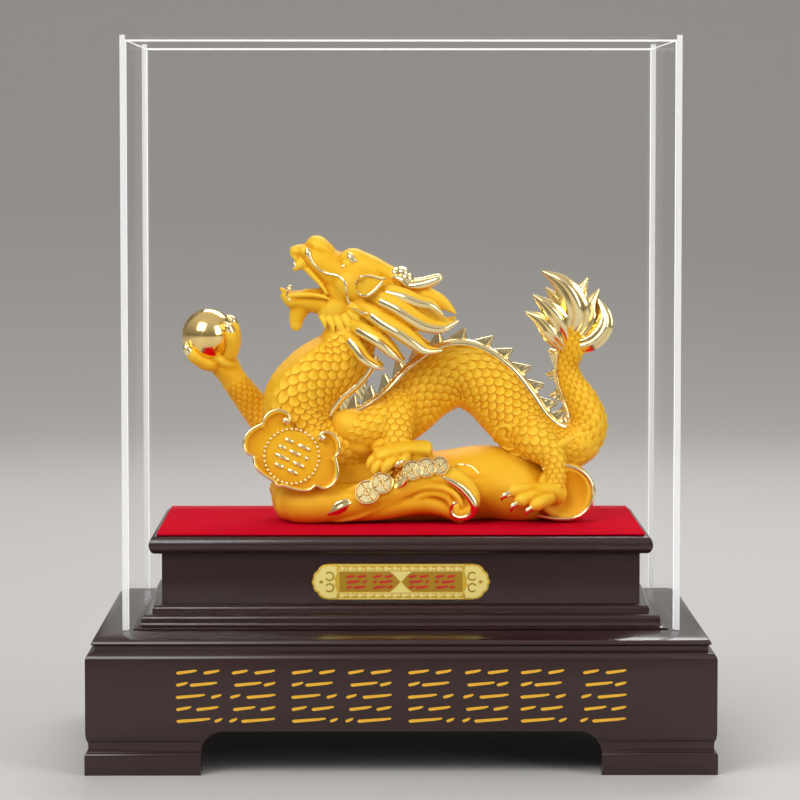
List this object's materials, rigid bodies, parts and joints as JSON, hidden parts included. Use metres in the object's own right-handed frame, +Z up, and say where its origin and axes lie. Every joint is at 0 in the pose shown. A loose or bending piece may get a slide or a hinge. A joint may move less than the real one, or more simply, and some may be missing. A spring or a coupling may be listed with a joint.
{
  "type": "dragon sculpture",
  "caption": "Gilt dragon holding up a pearl, on a ruyi sceptre with a string of coins, on a dark stepped wooden plinth with a red velvet top, under a clear cover.",
  "frame": {"origin": "middle of the plinth's footprint, at the height of the feet's undersides", "axes": "+X along the plinth's front to the viewer's right, +Y from the front to the back, +Z up; the dragon faces -X and its medallion faces -Y"},
  "size_m": [0.3, 0.2, 0.35],
  "materials": {
    "sand_gold": "fine sand-textured gold film on cast resin, with polished gold on the edges and spikes",
    "bright_gold": "mirror-polished pale gold",
    "lacquer": "dark red-brown lacquer, semi-gloss",
    "velvet": "red velvet, short pile",
    "plate_metal": "satin brass with a raised border",
    "clear_acrylic": "clear, polished, see-through"
  },
  "bodies": {
    "root": {"dragon": "sand_gold", "pearl": "bright_gold", "plinth_lower_step": "lacquer", "plinth_raised_tier": "lacquer", "plinth_top_board": "lacquer", "velvet_top": "velvet", "name_plate": "plate_metal", "acrylic_cover": "clear_acrylic"}
  },
  "joints": []
}
